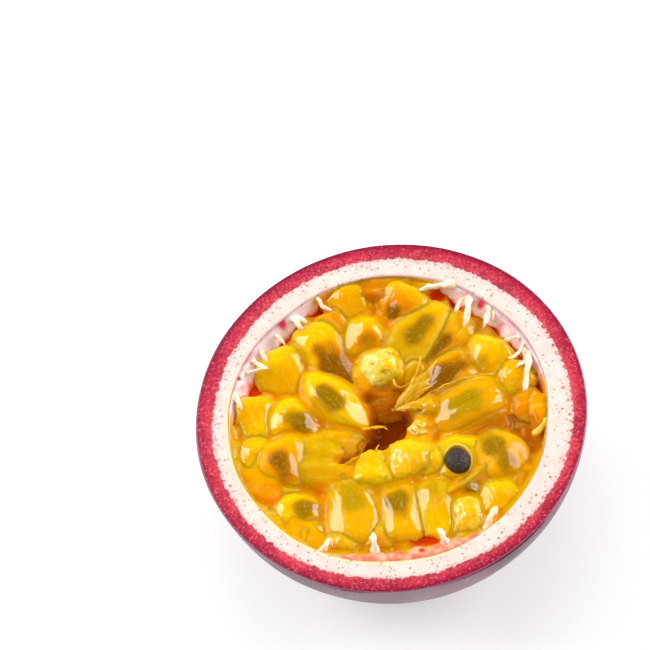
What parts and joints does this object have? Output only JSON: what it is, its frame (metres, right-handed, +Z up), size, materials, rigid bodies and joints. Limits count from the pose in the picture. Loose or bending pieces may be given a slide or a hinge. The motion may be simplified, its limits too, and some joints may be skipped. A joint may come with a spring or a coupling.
{
  "type": "passion fruit half",
  "caption": "Half of a round purple passion fruit, cut across, resting cut face up: thin rind, white pith, pink lining and a heap of glossy yellow juice sacs around dark seeds.",
  "frame": {"origin": "centre of the flat spot under the fruit, on the surface that it rests on, below the middle of its outline", "axes": "+Z up, at right angles to the cut face; +X to the right and +Y away, seen from the side that the cut face was viewed from"},
  "size_m": [0.0582, 0.0578, 0.027],
  "materials": {
    "rind": "dark purple skin with pale specks and a soft bloom, deep red flesh at the cut",
    "pith": "cream-white moist pith with small red-brown and tan specks",
    "lining": "moist pink lining with crimson spots and pale fleshy pegs",
    "pulp": "wet, translucent yellow-orange juice sacs, greenish where a dark seed shows through"
  },
  "bodies": {
    "root": {"rind": "rind", "pith": "pith", "lining": "lining", "pulp": "pulp"}
  },
  "joints": []
}
